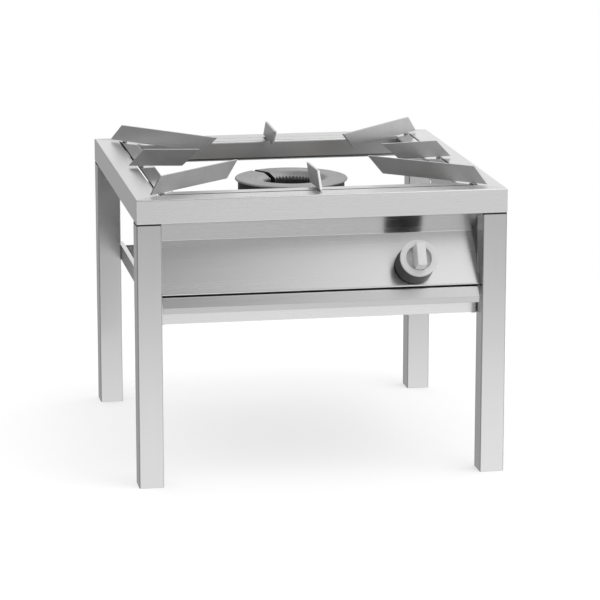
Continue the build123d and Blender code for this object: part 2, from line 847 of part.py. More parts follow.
# Knob: a dark hollow drum on the spindle, and a bright cap with a tall grip between two hollows
cap_back = knob_face - knob_cap_rim
boss_back = knob_face - knob_boss_depth
drum_inside = knob_front_radius - knob_shell
drum = ring_solid(
    [
        (knob_back_radius - knob_shell, knob_gap),
        (knob_back_radius, knob_gap),
        (knob_front_radius, cap_back),
        (knob_boss_radius, cap_back),
        (knob_boss_radius, boss_back),
        (0, boss_back),
        (0, boss_back - knob_shell),
        (drum_inside, boss_back - knob_shell),
    ]
)
hub_from = tap_neck_height + push_travel + knob_hub_clearance
hub = disc(knob_hub_radius, hub_from, boss_back)
hub_socket = flatted(spindle_radius, spindle_flat, hub_from, spindle_front)
nodes["knob"] = tap_plane * (drum + hub - hub_socket)
knob_cap = disc(knob_face_radius, cap_back, knob_face) + disc(knob_boss_radius, boss_back, cap_back)
hollow_floor = knob_face - knob_hollow_depth
knob_cap = knob_cap - disc(knob_hollow_radius, hollow_floor, knob_face)
grip_top = knob_face + grip_rise
grip_outline = [
    (-grip_foot_width / 2, hollow_floor),
    (grip_foot_width / 2, hollow_floor),
    (grip_width / 2, grip_top),
    (-grip_width / 2, grip_top),
]
grip = prism_y(grip_outline, -knob_hollow_radius, knob_hollow_radius)
grip = grip & disc(knob_hollow_radius, hollow_floor, grip_top)
nodes["knob_cap"] = tap_plane * (knob_cap + grip)

# Feed tube from the tap to the injector's elbow, and supply pipe from the inlet to the tap
holder_end = mix_plane.from_local_coords(Vector(holder_branch, 0, holder_axis))
tap_outlet = Vector(*on_tap(-boss_reach, 0, -tap_port))
feed_points = [
    (holder_end.X, holder_end.Y, holder_end.Z),
    (holder_end.X + feed_lead, holder_end.Y, holder_end.Z),
    (tap_outlet.X - feed_tail, tap_outlet.Y, tap_outlet.Z),
    (tap_outlet.X, tap_outlet.Y, tap_outlet.Z),
]
nodes["feed_tube"] = pipe(feed_points, feed_radius, feed_wall, thin_tube_bend)
tap_inlet = Vector(*on_tap(boss_reach, 0, -tap_port))
inlet_end = half_depth + inlet_reach
thread_start = inlet_end - inlet_thread_length
plate_back = thread_start - inlet_stem - inlet_locknut
plate_front = plate_back - inlet_plate
hex_front = plate_front - inlet_hex_length
socket_front = hex_front - inlet_socket_length
supply_points = [
    (tap_inlet.X, tap_inlet.Y, tap_inlet.Z),
    (supply_side, tap_inlet.Y, tap_inlet.Z),
    (supply_side, socket_front + inlet_socket_length / 2, tap_inlet.Z),
]
nodes["supply_pipe"] = pipe(supply_points, supply_radius, supply_wall, supply_bend)

# Inlet fitting with its outside thread, on a cranked plate behind the crossbar
inlet_plane = Plane(origin=(supply_side, 0, tap_inlet.Z), x_dir=(1, 0, 0), z_dir=(0, 1, 0))
inlet = disc(inlet_thread_radius, thread_start, inlet_end)
inlet = inlet + disc(inlet_thread_radius - inlet_relief, plate_front, thread_start)
inlet = inlet + hex_bar(inlet_hex, hex_front, plate_front)
inlet = inlet + disc(inlet_socket_radius, socket_front, hex_front)
inlet = inlet - disc(supply_radius - supply_wall, socket_front, inlet_end)
inlet = inlet - disc(supply_radius + nut_play, socket_front, socket_front + inlet_socket_length / 2)
inlet = inlet - disc(inlet_bore, plate_back, inlet_end)
nodes["inlet_fitting"] = inlet_plane * inlet
locknut = hex_bar(inlet_hex, plate_back, plate_back + inlet_locknut)
locknut = locknut - disc(inlet_thread_radius + inlet_clearance, plate_back, plate_back + inlet_locknut)
nodes["inlet_locknut"] = inlet_plane * locknut
plate_top = tap_inlet.Z + inlet_plate_above
plate_crank = runner_top + inlet_plate
plate_points = [
    (inner_y, runner_top - inlet_plate_lap),
    (inner_y, plate_crank),
    (plate_front, plate_crank),
    (plate_front, plate_top),
]
plate_half = inlet_plate_width / 2
plate_outline = folded(plate_points[::-1], inlet_plate)
plate = prism_x(plate_outline, supply_side - plate_half, supply_side + plate_half)
plate_hole = disc(
    inlet_thread_radius + inlet_clearance, plate_front - cut_margin, plate_back + cut_margin
)
plate = plate - inlet_plane * plate_hole
plate_screws = []
crossbar = nodes["rear_crossbar"]
for offset in (-plate_half / 2, plate_half / 2):
    screw_place = Plane(
        origin=(supply_side + offset, 0, runner_top - inlet_plate_lap / 2), x_dir=(1, 0, 0), z_dir=(0, 1, 0)
    )
    plate_outside = inner_y + inlet_plate
    way = screw_place * disc(small_screw_radius + bolt_clearance, crossbar_front, plate_outside)
    plate = plate - way
    crossbar = crossbar - way
    screw = disc(small_screw_radius, crossbar_front, plate_outside)
    screw = screw + disc(small_screw_head, plate_outside, plate_outside + small_screw_radius)
    plate_screws.append(screw_place * screw)
nodes["rear_crossbar"] = crossbar
nodes["inlet_plate"] = plate
nodes["inlet_screws"] = group(plate_screws)

# Pilot burner and thermocouple probe, held beside the slot by a plate on the burner,
# with their thin tubes from the tap
pilot_x, pilot_y = polar(pilot_ring_radius, slot_angle)
probe_x, probe_y = polar(pilot_ring_radius, probe_angle)
pilot = disc(pilot_radius, pilot_bottom, pilot_top)
pilot = pilot - disc(pilot_radius - pilot_wall, pilot_top - pilot_radius, pilot_top)
pilot_mouth_level = pilot_top - pilot_radius
pilot_mouth = rod((pilot_x, pilot_y, pilot_mouth_level), (0, 0, pilot_mouth_level), pilot_radius / 2)
nodes["pilot_burner"] = Pos(pilot_x, pilot_y, 0) * pilot - pilot_mouth


def thin_tube(start, lead, end, run_level, radius):
    """A thin tube from the tap, along under the burner and up to its end."""
    middle_x = (lead[0] + end[0]) / 2 + thin_tube_swing
    middle_y = (lead[1] + end[1]) / 2 + thin_tube_swing
    points = [start, lead, (middle_x, middle_y, run_level), (end[0], end[1], run_level), end]
    return pipe(points, radius, 0, thin_tube_bend)


pilot_start = on_tap(0, pilot_port, -tap_port)
pilot_lead = on_tap(0, pilot_port + thin_tube_lead, -tap_port)
pilot_end = (pilot_x, pilot_y, pilot_bottom)
tube_level = bearer_bottom - pilot_tube_run
nodes["pilot_tube"] = thin_tube(pilot_start, pilot_lead, pilot_end, tube_level, pilot_tube_radius)
probe_start = on_tap(0, 0, -magnet_end)
probe_lead = on_tap(0, 0, -magnet_end - thin_tube_lead)
probe_end = (probe_x, probe_y, pilot_bottom)
lead_level = bearer_bottom - probe_lead_run
lead = thin_tube(probe_start, probe_lead, probe_end, lead_level, probe_lead_radius)
probe = Pos(probe_x, probe_y, 0) * disc(probe_radius, pilot_bottom, pilot_top)
nodes["thermocouple"] = lead + probe

plate_low = pilot_bottom + pilot_plate_rise
plate_high = plate_low + pilot_plate_height
shelf_end = pilot_ring_radius + pilot_radius + pilot_plate
arm = block(
    -pilot_plate_half, pilot_plate_half, burner_radius, burner_radius + pilot_plate, plate_low, plate_high
)
shelf = block(
    -pilot_plate_half, pilot_plate_half, burner_radius, shelf_end, plate_low, plate_low + pilot_plate
)
shelf_turn = Rot(0, 0, (slot_angle + probe_angle) / 2)
pilot_holder = shelf_turn * (arm + shelf)
holder_screw_level = (plate_low + pilot_plate + plate_high) / 2
holder_screw_seat = burner_radius + pilot_plate
holder_screw_way = shelf_turn * rod(
    (0, burner_radius - burner_wall, holder_screw_level),
    (0, holder_screw_seat, holder_screw_level),
    small_screw_radius + bolt_clearance,
)
for x, y, radius in ((pilot_x, pilot_y, pilot_radius), (probe_x, probe_y, probe_radius)):
    pilot_holder = pilot_holder - Pos(x, y, 0) * disc(radius + bolt_clearance, plate_low, plate_high)
nodes["pilot_plate"] = pilot_holder - holder_screw_way
nodes["burner_body"] = nodes["burner_body"] - holder_screw_way
pilot_screw = rod(
    (0, burner_radius - burner_wall, holder_screw_level),
    (0, holder_screw_seat, holder_screw_level),
    small_screw_radius,
)
pilot_screw_head = rod(
    (0, holder_screw_seat, holder_screw_level),
    (0, holder_screw_seat + small_screw_radius, holder_screw_level),
    small_screw_head,
)
nodes["pilot_screw"] = shelf_turn * (pilot_screw + pilot_screw_head)

# Union nuts on the tubes' ends
up_slope = Vector(*pilot_lead) - Vector(*pilot_start)
nuts = [
    hex_nut(feed_nut, feed_radius + nut_play, feed_points[0], (1, 0, 0), nut_length),
    hex_nut(feed_nut, feed_radius + nut_play, feed_points[3], (-1, 0, 0), nut_length),
    hex_nut(supply_nut, supply_radius + nut_play, supply_points[0], (1, 0, 0), nut_length),
    hex_nut(pilot_nut, pilot_tube_radius + nut_play, pilot_start, up_slope, nut_length),
    hex_nut(probe_nut, probe_lead_radius + nut_play, probe_start, tap_out * -1, nut_length),
]
nodes["union_nuts"] = group(nuts)

os.makedirs("parts", exist_ok=True)
for name, shape in nodes.items():
    export_step(shape, "parts/" + name + ".step")
print(len(nodes), "nodes written")
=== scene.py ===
import json
import math

import bmesh
import bpy
from mathutils import Matrix, Vector


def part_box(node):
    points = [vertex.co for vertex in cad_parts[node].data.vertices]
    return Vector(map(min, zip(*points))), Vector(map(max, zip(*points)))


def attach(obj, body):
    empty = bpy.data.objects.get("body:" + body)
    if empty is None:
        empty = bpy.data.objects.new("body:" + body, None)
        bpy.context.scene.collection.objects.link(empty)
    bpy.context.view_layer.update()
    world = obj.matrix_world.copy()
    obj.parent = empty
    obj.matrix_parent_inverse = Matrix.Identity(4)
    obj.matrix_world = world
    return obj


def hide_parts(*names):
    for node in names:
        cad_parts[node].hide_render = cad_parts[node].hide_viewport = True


# Looks of the gas wok burner. Metres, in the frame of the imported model: the origin is on the floor
# under the middle, +Z is up, and the front faces -Y.
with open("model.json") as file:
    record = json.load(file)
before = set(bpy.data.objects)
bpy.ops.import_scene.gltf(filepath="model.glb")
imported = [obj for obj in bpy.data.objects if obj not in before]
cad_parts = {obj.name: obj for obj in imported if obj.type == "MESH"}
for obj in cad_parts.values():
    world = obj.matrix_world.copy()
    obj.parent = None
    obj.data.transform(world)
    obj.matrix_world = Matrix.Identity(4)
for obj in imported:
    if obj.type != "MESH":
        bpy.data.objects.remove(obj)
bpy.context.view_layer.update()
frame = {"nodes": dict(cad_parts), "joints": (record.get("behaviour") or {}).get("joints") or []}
nodes = frame["nodes"]
joints = {joint["name"]: joint for joint in frame["joints"]}
MM = 0.001


# Node graphs
class Graph:
    """One procedural material."""

    def __init__(self, name, world=None):
        holder = world or bpy.data.materials.new(name)
        holder.use_nodes = True
        self.holder = holder
        self.tree = holder.node_tree
        self.tree.nodes.clear()
        kind = "ShaderNodeOutputWorld" if world else "ShaderNodeOutputMaterial"
        self.output = self.tree.nodes.new(kind)

    def add(self, kind, values=None, **settings):
        node = self.tree.nodes.new(kind)
        for key, value in settings.items():
            setattr(node, key, value)
        for key, value in (values or {}).items():
            if isinstance(value, bpy.types.NodeSocket):
                self.tree.links.new(value, node.inputs[key])
            else:
                node.inputs[key].default_value = value
        return node

    def place(self):
        return self.add("ShaderNodeTexCoord").outputs["Object"]

    def scaled(self, vector, scale):
        return self.add("ShaderNodeMapping", {"Vector": vector, "Scale": scale}).outputs[0]

    def noise(self, vector, scale=1.0, detail=2.0, roughness=0.5):
        values = {"Vector": vector, "Scale": scale, "Detail": detail, "Roughness": roughness}
        return self.add("ShaderNodeTexNoise", values).outputs["Fac"]

    def cells(self, vector, scale, feature="F1"):
        node = self.add("ShaderNodeTexVoronoi", {"Vector": vector, "Scale": scale}, feature=feature)
        return node.outputs["Distance"]

    def sum(self, a, b):
        return self.add("ShaderNodeMath", {0: a, 1: b}, operation="ADD").outputs[0]

    def times(self, a, b):
        return self.add("ShaderNodeMath", {0: a, 1: b}, operation="MULTIPLY").outputs[0]

    def spread(self, value, low, high, to_low, to_high, smooth=False):
        kind = "SMOOTHSTEP" if smooth else "LINEAR"
        values = {"Value": value, 1: low, 2: high, 3: to_low, 4: to_high}
        return self.add("ShaderNodeMapRange", values, interpolation_type=kind).outputs[0]

    def colour(self, value, stops):
        ramp = self.add("ShaderNodeValToRGB", {"Fac": value})
        points = ramp.color_ramp.elements
        while len(points) < len(stops):
            points.new(1.0)
        for point, (place, shade) in zip(points, stops):
            point.position = place
            point.color = (*shade, 1.0)
        return ramp.outputs["Color"]

    def mixed(self, factor, a, b):
        values = {0: factor, 6: a, 7: b}
        return self.add("ShaderNodeMix", values, data_type="RGBA").outputs[2]

    def bump(self, height, strength, distance):
        values = {"Height": height, "Strength": strength, "Distance": distance}
        return self.add("ShaderNodeBump", values).outputs[0]

    def finish(self, **values):
        named = {key.replace("_", " "): value for key, value in values.items()}
        shader = self.add("ShaderNodeBsdfPrincipled", named)
        self.tree.links.new(shader.outputs[0], self.output.inputs["Surface"])
        return self.holder


def grey(level, warm=0.0):
    """A near-neutral colour with alpha; warm shifts it slightly to yellow."""
    return (level * (1 + warm), level, level * (1 - warm), 1.0)


def brushed(name, grain, tone=0.66, rough=0.25, contrast=0.035, anisotropy=0.7, fine=520.0):
    """Brushed stainless steel whose grain runs along one axis."""
    g = Graph(name)
    along = {"X": (1, 0, 0), "Y": (0, 1, 0), "Z": (0, 0, 1)}[grain]
    place = g.place()
    streak = g.scaled(place, tuple(7.0 if a else fine for a in along))
    broad = g.scaled(place, tuple(1.6 if a else 70.0 for a in along))
    fine_lines = g.noise(streak, detail=3.0, roughness=0.65)
    broad_lines = g.noise(broad, detail=2.0, roughness=0.5)
    clouds = g.noise(place, scale=5.0, detail=2.0)
    lines = g.sum(g.times(fine_lines, 0.6), g.times(broad_lines, 0.4))
    dark, light = tone * (1 - contrast), tone * (1 + contrast)
    shade = g.colour(lines, [(0.3, grey(dark)[:3]), (0.7, grey(light)[:3])])
    shade = g.mixed(g.spread(clouds, 0.3, 0.7, 0.0, 0.35), shade, grey(tone * 0.97, 0.004))
    roughness = g.spread(lines, 0.25, 0.75, rough - 0.03, rough + 0.03)
    normal = g.add("ShaderNodeNewGeometry").outputs["Normal"]
    values = {0: normal, 1: tuple(float(a) for a in along)}
    tangent = g.add("ShaderNodeVectorMath", values, operation="CROSS_PRODUCT").outputs[0]
    return g.finish(
        Base_Color=shade,
        Metallic=1.0,
        Roughness=roughness,
        Anisotropic=anisotropy,
        Tangent=tangent,
        Normal=g.bump(fine_lines, 0.06, 0.0001),
    )


def blasted(name, tone=0.36, rough=0.42, grain_size=900.0, metallic=1.0):
    """Steel with a fine, even, matt grain."""
    g = Graph(name)
    place = g.place()
    grain = g.noise(place, scale=grain_size, detail=2.0, roughness=0.7)
    clouds = g.noise(place, scale=22.0, detail=3.0, roughness=0.6)
    both = g.sum(g.times(grain, 0.5), g.times(clouds, 0.5))
    shade = g.colour(both, [(0.3, grey(tone * 0.86)[:3]), (0.7, grey(tone * 1.12)[:3])])
    roughness = g.spread(both, 0.3, 0.7, rough - 0.06, rough + 0.06)
    return g.finish(
        Base_Color=shade, Metallic=metallic, Roughness=roughness, Normal=g.bump(grain, 0.25, 0.0002)
    )


def casting(name, tone, rough=0.55, metallic=0.75, pits=0.5, scale=420.0):
    """Cast iron with a sandy skin, small pits and faint stains."""
    g = Graph(name)
    place = g.place()
    sand = g.noise(place, scale=scale, detail=4.0, roughness=0.7)
    stains = g.noise(place, scale=28.0, detail=3.0, roughness=0.6)
    pit = g.spread(g.cells(place, scale * 0.9), 0.0, 0.45, 0.0, 1.0, smooth=True)
    both = g.sum(g.times(sand, 0.55), g.times(stains, 0.45))
    shade = g.colour(both, [(0.3, grey(tone * 0.7)[:3]), (0.72, grey(tone * 1.2)[:3])])
    height = g.sum(g.times(sand, 0.6), g.times(pit, pits))
    roughness = g.spread(stains, 0.3, 0.7, rough - 0.1, rough + 0.1)
    return g.finish(
        Base_Color=shade, Metallic=metallic, Roughness=roughness, Normal=g.bump(height, 0.5, 0.0005)
    )


def plain_metal(name, colour, rough=0.3, lines=0.06, scale=300.0, metallic=1.0):
    """Drawn or turned metal with a light, uneven polish."""
    g = Graph(name)
    place = g.place()
    fine = g.noise(place, scale=scale, detail=3.0, roughness=0.6)
    clouds = g.noise(place, scale=35.0, detail=3.0)
    both = g.sum(g.times(fine, 0.4), g.times(clouds, 0.6))
    low = tuple(c * (1 - 2 * lines) for c in colour)
    high = tuple(min(c * (1 + lines), 1.0) for c in colour)
    shade = g.colour(both, [(0.3, low), (0.7, high)])
    roughness = g.spread(both, 0.3, 0.7, rough - 0.07, rough + 0.09)
    return g.finish(
        Base_Color=shade, Metallic=metallic, Roughness=roughness, Normal=g.bump(fine, 0.1, 0.0001)
    )


def plastic(name, tone, rough, scale=1500.0):
    """Moulded plastic with a faint spark-eroded grain."""
    g = Graph(name)
    place = g.place()
    grain = g.noise(place, scale=scale, detail=2.0, roughness=0.6)
    clouds = g.noise(place, scale=40.0, detail=2.0)
    shade = g.colour(clouds, [(0.3, grey(tone * 0.85)[:3]), (0.7, grey(tone * 1.1)[:3])])
    roughness = g.spread(grain, 0.3, 0.7, rough - 0.05, rough + 0.05)
    return g.finish(Base_Color=shade, Roughness=roughness, Normal=g.bump(grain, 0.15, 0.0001))


steel_x = brushed("steel_grain_x", "X", rough=0.27, anisotropy=0.85)
steel_y = brushed("steel_grain_y", "Y", tone=0.61, rough=0.3, anisotropy=0.85)
steel_z = brushed("steel_grain_z", "Z", rough=0.2, anisotropy=0.85)
panel_steel = brushed("panel_steel", "X", rough=0.26, anisotropy=0.8)
pull_steel = brushed("pull_steel", "X", tone=0.6, rough=0.28, anisotropy=0.8)
# Painted light: a lighter copy of the pull's steel for the tray's front wall below the nose
band_painted_light = brushed("band_painted_light", "X", tone=0.8, rough=0.28, anisotropy=0.8)
ring_steel_x = brushed("ring_steel_x", "X", tone=0.66, rough=0.34, anisotropy=0.5)
ring_steel_y = brushed("ring_steel_y", "Y", tone=0.54, rough=0.16, anisotropy=0.4)
# Painted shade: a darker copy of the steel for faces that lie in shade inside the frame and behind the panel
# and pull
painted_shade_steel = blasted("painted_shade_face", tone=0.24, rough=0.5)
# Painted shade: near black for the shade in the slit round the ring and at the panel's ends
painted_gap_shade = blasted("gap", tone=0.05, rough=0.55)
# Painted shade: near black for the shade in the seam where each leg meets the rails
painted_seam_shade = blasted("seam", tone=0.03, rough=0.7, metallic=0.3)
fin_steel = blasted("fin_steel", tone=0.54, rough=0.34)
# The fins' cut edges: bare metal, lighter than the blasted faces, partly as a painted highlight
edge_and_highlight_steel = plain_metal("cut_edge_and_highlight", (0.62, 0.62, 0.62), rough=0.35)
weld_steel = plain_metal("weld_bead", (0.22, 0.21, 0.2), rough=0.45, lines=0.25)
cap_iron = casting("cap_iron", 0.38, rough=0.45, metallic=0.8)
# Painted shade: near-black iron for the walls of the cap's slot
painted_slot_shade = casting("painted_slot_shade", 0.02, rough=0.8, metallic=0.1)
body_iron = casting("body_iron", 0.05, rough=0.6, metallic=0.6)
tube_iron = casting("tube_iron", 0.24, rough=0.55, metallic=0.7)
knob_black = plastic("knob_black", 0.05, 0.38)
knob_satin = plain_metal("knob_satin", (0.58, 0.58, 0.58), rough=0.4, lines=0.02, scale=900.0, metallic=0.15)
foot_black = plastic("foot_black", 0.03, 0.6)
slot_finish = {
    "fastener_steel": plain_metal("fastener", (0.5, 0.5, 0.5), rough=0.38),
    "foot_plastic": foot_black,
    "tap_brass": plain_metal("brass", (0.66, 0.5, 0.24), rough=0.3, lines=0.08),
    "tube_metal": plain_metal("drawn_tube", (0.58, 0.58, 0.57), rough=0.26),
    "copper_tube": plain_metal("copper", (0.68, 0.36, 0.22), rough=0.3, lines=0.1),
    "shutter_steel": plain_metal("shutter", (0.5, 0.5, 0.5), rough=0.34),
    "burner_iron": body_iron,
    "tube_iron": tube_iron,
    "brushed_sheet": steel_x,
    "blasted_steel": fin_steel,
    "knob_black": knob_black,
    "knob_satin": knob_satin,
}


# Mesh helpers
def soften(piece, width, segments=2, angle=35.0):
    """Rounds the sharp edges and keeps the flats flat."""
    for polygon in piece.data.polygons:
        polygon.use_smooth = True
    bevel = piece.modifiers.new("edges", "BEVEL")
    bevel.width = width
    bevel.segments = segments
    bevel.limit_method = "ANGLE"
    bevel.angle_limit = math.radians(angle)
    bevel.harden_normals = False
    normals = piece.modifiers.new("normals", "WEIGHTED_NORMAL")
    normals.keep_sharp = False
    normals.weight = 100


def piece_from(name, mesh_data, finish, body, stands_for=(), edge=0.0):
    """Makes the piece, gives it its finish and seats it on its body."""
    mesh = bpy.data.meshes.new(name)
    mesh_data.normal_update()
    bmesh.ops.recalc_face_normals(mesh_data, faces=mesh_data.faces)
    mesh_data.to_mesh(mesh)
    mesh_data.free()
    for material in finish if isinstance(finish, (list, tuple)) else [finish]:
        mesh.materials.append(material)
    piece = bpy.data.objects.new(name, mesh)
    bpy.context.scene.collection.objects.link(piece)
    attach(piece, body)
    if stands_for:
        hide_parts(*stands_for)
    if edge:
        soften(piece, edge)
    else:
        for polygon in mesh.polygons:
            polygon.use_smooth = True
        mesh.set_sharp_from_angle(angle=math.radians(50.0))
        normals = piece.modifiers.new("normals", "WEIGHTED_NORMAL")
        normals.keep_sharp = True
        normals.weight = 100
    return piece


def loft(data, loops, closed=True, first=False, last=False):
    """Joins loops of points by quads; each end may be closed by a face."""
    rows = [[data.verts.new(point) for point in loop] for loop in loops]
    count = len(rows[0])
    for below, above in zip(rows, rows[1:]):
        for i in range(count if closed else count - 1):
            j = (i + 1) % count
            data.faces.new((below[i], below[j], above[j], above[i]))
    if first:
        data.faces.new(rows[0])
    if last:
        data.faces.new(rows[-1])


def rounded_square(half, radius, steps=4):
    """Points round a square with rounded corners."""
    points = []
    for quarter in range(4):
        turn = math.radians(90 * quarter)
        for step in range(steps + 1):
            angle = math.radians(90.0 * step / steps)
            u = half - radius + radius * math.cos(angle)
            v = half - radius + radius * math.sin(angle)
            points.append((u * math.cos(turn) - v * math.sin(turn), u * math.sin(turn) + v * math.cos(turn)))
    return points


def folded_outline(points, thickness, radius, steps=5):
    """The closed outline of a folded sheet with real bends; the sheet lies left of the path."""
    half = thickness / 2
    sides = []
    for a, b in zip(points, points[1:]):
        d = (Vector(b) - Vector(a)).normalized()
        sides.append((d, Vector((-d.y, d.x))))
    middle = []
    for index, point in enumerate(points):
        n0 = sides[max(index - 1, 0)][1]
        n1 = sides[min(index, len(sides) - 1)][1]
        middle.append(Vector(point) + (n0 + n1) * (half / (1 + n0.dot(n1))))
    path = [(middle[0], sides[0][1])]
    for index in range(1, len(middle) - 1):
        d0, n0 = sides[index - 1]
        d1, n1 = sides[index]
        turn = math.atan2(d0.x * d1.y - d0.y * d1.x, d0.dot(d1))
        reach = (radius + half) * abs(math.tan(turn / 2))
        sign = 1.0 if turn > 0 else -1.0
        centre = middle[index] - d0 * reach + n0 * (sign * (radius + half))
        for step in range(steps + 1):
            spin = Matrix.Rotation(turn * step / steps, 2)
            normal = spin @ n0
            path.append((centre - normal * (sign * (radius + half)), normal))
    path.append((middle[-1], sides[-1][1]))
    right = [p - n * half for p, n in path]
    left = [p + n * half for p, n in path]
    return [tuple(p) for p in right + left[::-1]]


def prism(data, outline, placed, low, high):
    """Draws an outline out between two distances; placed turns (u, v, w) into a point."""
    loops = [[placed(u, v, w) for u, v in outline] for w in (low, high)]
    loft(data, loops, first=True, last=True)


def along_x(u, v, w):
    """A point of an outline in depth and height, placed at a distance across the part."""
    return (w, u, v)


# Top frame: mitred rails on square legs
half_frame = 0.3
tube = 0.04
rail_middle = half_frame - tube / 2
rail_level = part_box("rail_front")[0].z + tube / 2
leg_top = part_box("leg_front_left")[1].z
ring_depth = 30 * MM
corner = 2.2 * MM
seam = 0.25 * MM
mitre_gap = 0.55 * MM
mitre_edge = 0.1 * MM
face_margin = 0.3 * MM
seam_height = 1.6 * MM
leg_inside = tube / 2 - 2.0 * MM
leg_neck = tube / 2 - 0.4 * MM

for name, side, sign in (("front", "Y", -1), ("back", "Y", 1), ("left", "X", -1), ("right", "X", 1)):
    data = bmesh.new()
    loops = []
    for end in (-1, 1):
        pair = []
        for shrink, gap in ((0.0, mitre_gap), (seam, mitre_edge)):
            loop = []
            for u, v in rounded_square(tube / 2 - shrink, corner):
                reach = end * (rail_middle + u - gap)
                across = sign * (rail_middle + u)
                point = (reach, across, rail_level + v) if side == "Y" else (across, reach, rail_level + v)
                loop.append(point)
            pair.append(loop)
        loops.extend(pair[::-1] if end < 0 else pair)
    loft(data, loops, first=True, last=True)
    # Painted shade: the inward faces beside the ring get the darker steel
    for face in data.faces:
        middle = face.calc_center_median()
        out = sign * (middle.y if side == "Y" else middle.x)
        inward = out < rail_middle - tube / 2 + face_margin
        beside_ring = middle.z > rail_level + tube / 2 - ring_depth
        face.material_index = 1 if inward and beside_ring else 0
    finishes = [steel_x if side == "Y" else steel_y, painted_shade_steel]
    rail = "rail_" + name
    piece_from(rail + "_tube", data, finishes, "frame", [rail])

for depth_name, y_sign in (("front", -1), ("back", 1)):
    for side_name, x_sign in (("left", -1), ("right", 1)):
        data = bmesh.new()
        x, y = x_sign * rail_middle, y_sign * rail_middle
        # Half width, corner radius and height: down the inside, round the rim at the floor, and up
        # the outside to a neck under the rail, which is painted near black as shade in the seam
        levels = [
            (leg_inside, 0.6 * MM, leg_top - 4 * MM),
            (leg_inside, 0.6 * MM, 0.2 * MM),
            (tube / 2 - 1.8 * MM, 0.7 * MM, 0.0),
            (tube / 2 - 0.3 * MM, corner, 0.0),
            (tube / 2, corner, 0.4 * MM),
            (tube / 2, corner, leg_top - 1.7 * MM),
            (leg_neck, corner, leg_top - 1.4 * MM),
            (leg_neck, corner, leg_top - 0.1 * MM),
        ]
        loops = [[(x + u, y + v, z) for u, v in rounded_square(h, r)] for h, r, z in levels]
        loft(data, loops, first=True, last=True)
        for face in data.faces:
            face.material_index = 1 if face.calc_center_median().z > leg_top - seam_height else 0
        name = "leg_" + depth_name + "_" + side_name
        piece_from(name + "_tube", data, [steel_z, painted_seam_shade], "frame", [name])

# Grate ring: a folded angle with mitred corners
ring_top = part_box("grate_ring")[1].z
ring_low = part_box("grate_ring")[0].z
ring_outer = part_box("grate_ring")[1].x
ring_inner = ring_outer - 27 * MM
ring_sheet = 3 * MM
ring_fold = 1.2 * MM
ring_path = [(ring_outer, ring_top), (ring_inner, ring_top), (ring_inner, ring_low)]
data = bmesh.new()
loops = []
for u, v in folded_outline(ring_path, ring_sheet, ring_fold):
    loops.append([(-u, -u, v), (u, -u, v), (u, u, v), (-u, u, v)])
loft(data, loops + [loops[0]])
bmesh.ops.remove_doubles(data, verts=data.verts, dist=1e-7)
for face in data.faces:
    middle = face.calc_center_median()
    face.material_index = 0 if abs(middle.y) > abs(middle.x) else 1
    # Painted shade: the outer edge face, in the slit round the ring, is near black
    if max(abs(middle.x), abs(middle.y)) > ring_outer - 0.1 * MM:
        face.material_index = 2
finishes = [ring_steel_x, ring_steel_y, painted_gap_shade]
piece_from("grate_ring_angle", data, finishes, "grate", ["grate_ring"], edge=0.35 * MM)

# Fins: plates that fall a little towards the burner, each welded to the ring by one foot
fin_gap = 3 * MM
fin_low = ring_top + fin_gap
fin_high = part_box("fin_left")[1].z
fin_drop = 2.8 * MM
fin_half = 2 * MM
weld_radius = 1.4 * MM
# Along a fin, in millimetres from the burner's axis: the inner end of its lower edge, the outer end
# of its foot at the ring's edge, and the outer end of its lower edge
side_fin = (185.5, 257.0, 275.0)
corner_fin = (185.5, 359.5, 386.3)
# Along a fin, in millimetres: the foot, how far both ends lean in, and the weld past the foot's ends
foot = 6.0
outer_lean, inner_lean = 25.0, 30.0
weld_inside, weld_outside = 0.5, 0.3


def bead(data, placed, low, high, side, radius):
    """A rippled weld along a foot, from low to high, against one side of the fin."""
    loops = []
    count = 14
    for step in range(count + 1):
        share = step / count
        swell = radius * (0.35 + 0.65 * math.sin(math.pi * share) ** 0.35) * (1.0 + 0.12 * (-1) ** step)
        along = low + (high - low) * share
        loop = [placed(along, side * fin_half * 0.5, 0.0)]
        for turn in range(5):
            angle = math.pi / 2 * turn / 4
            loop.append(placed(along, side * (fin_half + swell * math.cos(angle)), swell * math.sin(angle)))
        loop.append(placed(along, side * fin_half * 0.5, swell))
        loops.append(loop)
    loft(data, loops, first=True, last=True)


for name, angle, (inner_foot, edge, outer_foot) in (
    ("right", 0, side_fin),
    ("back", 90, side_fin),
    ("left", 180, side_fin),
    ("front", 270, side_fin),
    ("back_right", 45, corner_fin),
    ("back_left", 135, corner_fin),
    ("front_left", 225, corner_fin),
    ("front_right", 315, corner_fin),
):
    turn = Matrix.Rotation(math.radians(angle), 4, "Z")
    fin = "fin_" + name

    def low_edge(s):
        """The fin's lower edge at a distance from the burner's axis."""
        return fin_low - fin_drop * (outer_foot - s) / (outer_foot - inner_foot)

    outline = [(inner_foot, low_edge(inner_foot)), (edge - foot, low_edge(edge - foot))]
    outline += [(edge - foot, ring_top), (edge, ring_top), (edge, low_edge(edge)), (outer_foot, fin_low)]
    outline += [(outer_foot - outer_lean, fin_high), (inner_foot - inner_lean, fin_high - fin_drop)]
    data = bmesh.new()
    points = [(s * MM, z) for s, z in outline]
    prism(data, points, lambda u, v, w: turn @ Vector((u, w, v)), -fin_half, fin_half)
    data.normal_update()
    # The cut edges get the lighter bare finish, partly a painted highlight
    for face in data.faces:
        flat = abs((turn.inverted() @ face.normal.to_4d()).y)
        face.material_index = 0 if flat > 0.9 else 1
    piece_from(fin + "_plate", data, [fin_steel, edge_and_highlight_steel], "grate", [fin], edge=0.3 * MM)

    def on_ring(s, w, z):
        """A point at a distance along the fin, beside it and above the ring."""
        return turn @ Vector((s * MM, w, ring_top + z))

    data = bmesh.new()
    for side in (-1, 1):
        bead(data, on_ring, edge - foot - weld_inside, edge + weld_outside, side, weld_radius)
    piece_from(fin + "_welds", data, weld_steel, "grate")

